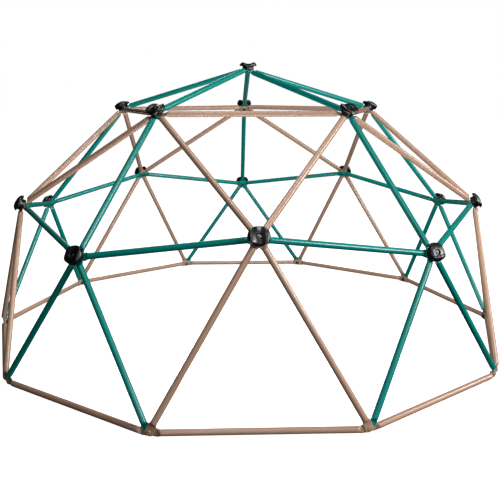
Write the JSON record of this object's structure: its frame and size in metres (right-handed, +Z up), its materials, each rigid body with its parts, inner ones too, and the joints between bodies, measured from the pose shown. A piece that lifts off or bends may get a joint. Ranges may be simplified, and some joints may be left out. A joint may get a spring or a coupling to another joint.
{
  "type": "dome climber",
  "caption": "Free-standing geodesic dome climbing frame of bolted steel tubes with flattened ends and black plastic hub caps",
  "frame": {"origin": "On the ground under the top hub: the middle of the base ring's outline, at the height of the lower edges of the base hubs' plates.", "axes": "+Z up through the top hub; -Y towards the front, where a middle hub faces the viewer; +X to the viewer's right."},
  "size_m": [3.0543, 2.9282, 1.583],
  "materials": {
    "tan_powder_coat": "glossy tan powder coat",
    "teal_powder_coat": "glossy teal powder coat",
    "black_plastic": "moulded black plastic, satin to glossy",
    "dark_steel": "black zinc plate"
  },
  "bodies": {
    "root": {"base_ring": "tan_powder_coat", "belt_ring": "teal_powder_coat", "upper_ring": "tan_powder_coat", "middle_leg_1": "tan_powder_coat", "middle_leg_2": "tan_powder_coat", "middle_leg_3": "tan_powder_coat", "middle_leg_4": "tan_powder_coat", "middle_leg_5": "tan_powder_coat", "middle_leg_6": "tan_powder_coat", "middle_leg_7": "tan_powder_coat", "middle_leg_8": "tan_powder_coat", "middle_leg_9": "tan_powder_coat", "middle_leg_10": "tan_powder_coat", "corner_leg_1": "teal_powder_coat", "corner_leg_2": "teal_powder_coat", "corner_leg_3": "teal_powder_coat", "corner_leg_4": "teal_powder_coat", "corner_leg_5": "teal_powder_coat", "corner_leg_6": "teal_powder_coat", "corner_leg_7": "teal_powder_coat", "corner_leg_8": "teal_powder_coat", "corner_leg_9": "teal_powder_coat", "corner_leg_10": "teal_powder_coat", "brace_1": "tan_powder_coat", "brace_2": "tan_powder_coat", "brace_3": "tan_powder_coat", "brace_4": "tan_powder_coat", "brace_5": "tan_powder_coat", "brace_6": "tan_powder_coat", "brace_7": "tan_powder_coat", "brace_8": "tan_powder_coat", "brace_9": "tan_powder_coat", "brace_10": "tan_powder_coat", "rib_1": "teal_powder_coat", "rib_2": "teal_powder_coat", "rib_3": "teal_powder_coat", "rib_4": "teal_powder_coat", "rib_5": "teal_powder_coat", "crown_tube_1": "teal_powder_coat", "crown_tube_2": "teal_powder_coat", "crown_tube_3": "teal_powder_coat", "crown_tube_4": "teal_powder_coat", "crown_tube_5": "teal_powder_coat", "top_bolt": "dark_steel", "top_cap": "black_plastic", "upper_cap_1": "black_plastic", "upper_cap_2": "black_plastic", "upper_cap_3": "black_plastic", "upper_cap_4": "black_plastic", "upper_cap_5": "black_plastic", "middle_cap_1": "black_plastic", "middle_cap_2": "black_plastic", "middle_cap_3": "black_plastic", "middle_cap_4": "black_plastic", "middle_cap_5": "black_plastic", "corner_cap_1": "black_plastic", "corner_cap_2": "black_plastic", "corner_cap_3": "black_plastic", "corner_cap_4": "black_plastic", "corner_cap_5": "black_plastic"}
  },
  "joints": []
}
